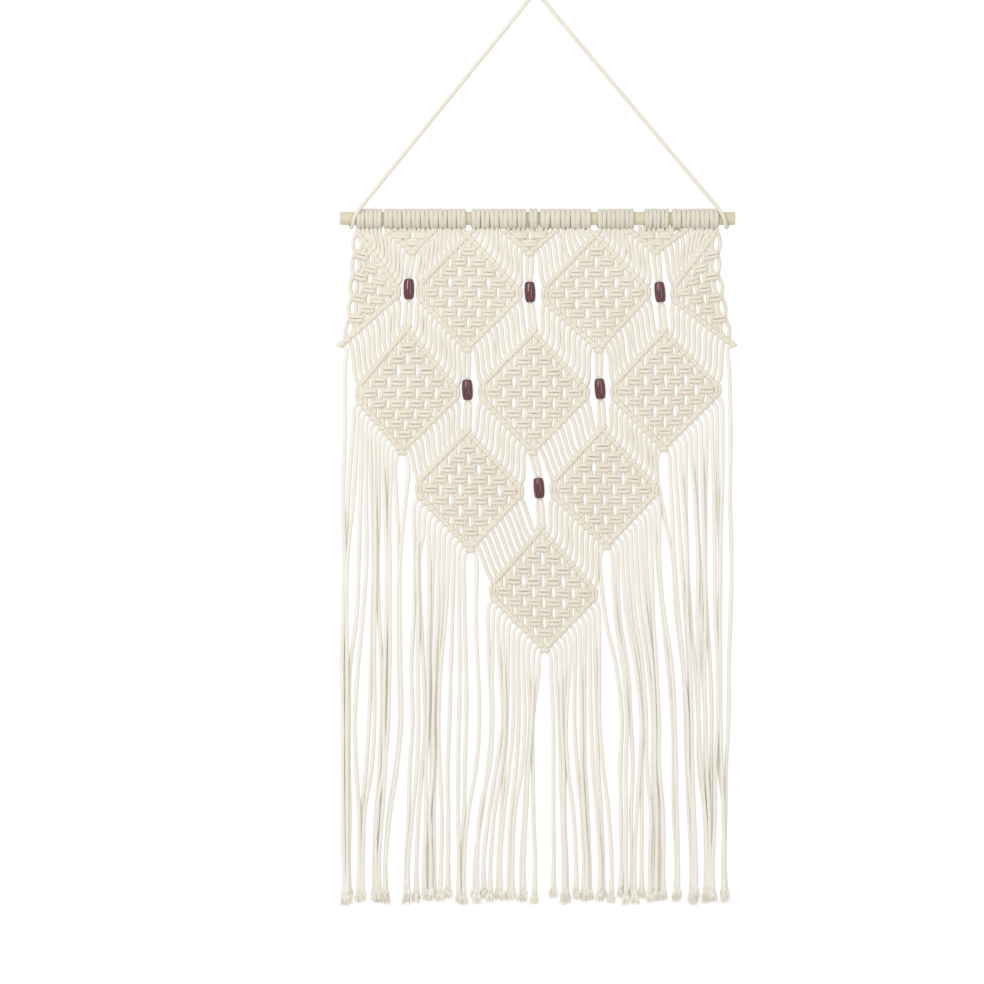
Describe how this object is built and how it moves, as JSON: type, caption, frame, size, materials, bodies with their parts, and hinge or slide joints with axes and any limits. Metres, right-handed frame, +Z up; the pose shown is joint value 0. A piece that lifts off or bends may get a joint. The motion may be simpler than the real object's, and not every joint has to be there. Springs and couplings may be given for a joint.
{
  "type": "macrame wall hanging with wooden rod",
  "caption": "Knotted cotton wall hanging of square-knot diamonds with wooden beads and a long fringe, tied on a wooden rod that hangs from a cord.",
  "frame": {"origin": "the top of the hanging cord's bend, where a nail or hook holds it", "axes": "+Z up, +X to the right along the rod as seen from the front, the front faces -Y"},
  "size_m": [0.402, 0.0221, 0.9204],
  "materials": {
    "natural_cotton": "matte twisted cotton cord, undyed",
    "pale_wood": "bare sanded pale wood",
    "red_brown_lacquer": "glossy dark red-brown lacquer on turned wood"
  },
  "bodies": {
    "root": {"wooden_rod": "pale_wood", "hanging_cord": "natural_cotton", "macrame_net": "natural_cotton", "bead_1": "red_brown_lacquer", "bead_2": "red_brown_lacquer", "bead_3": "red_brown_lacquer", "bead_4": "red_brown_lacquer", "bead_5": "red_brown_lacquer", "bead_6": "red_brown_lacquer", "fringe_left_outer": "natural_cotton", "fringe_left_inner": "natural_cotton", "fringe_middle": "natural_cotton", "fringe_right_inner": "natural_cotton", "fringe_right_outer": "natural_cotton"}
  },
  "joints": []
}
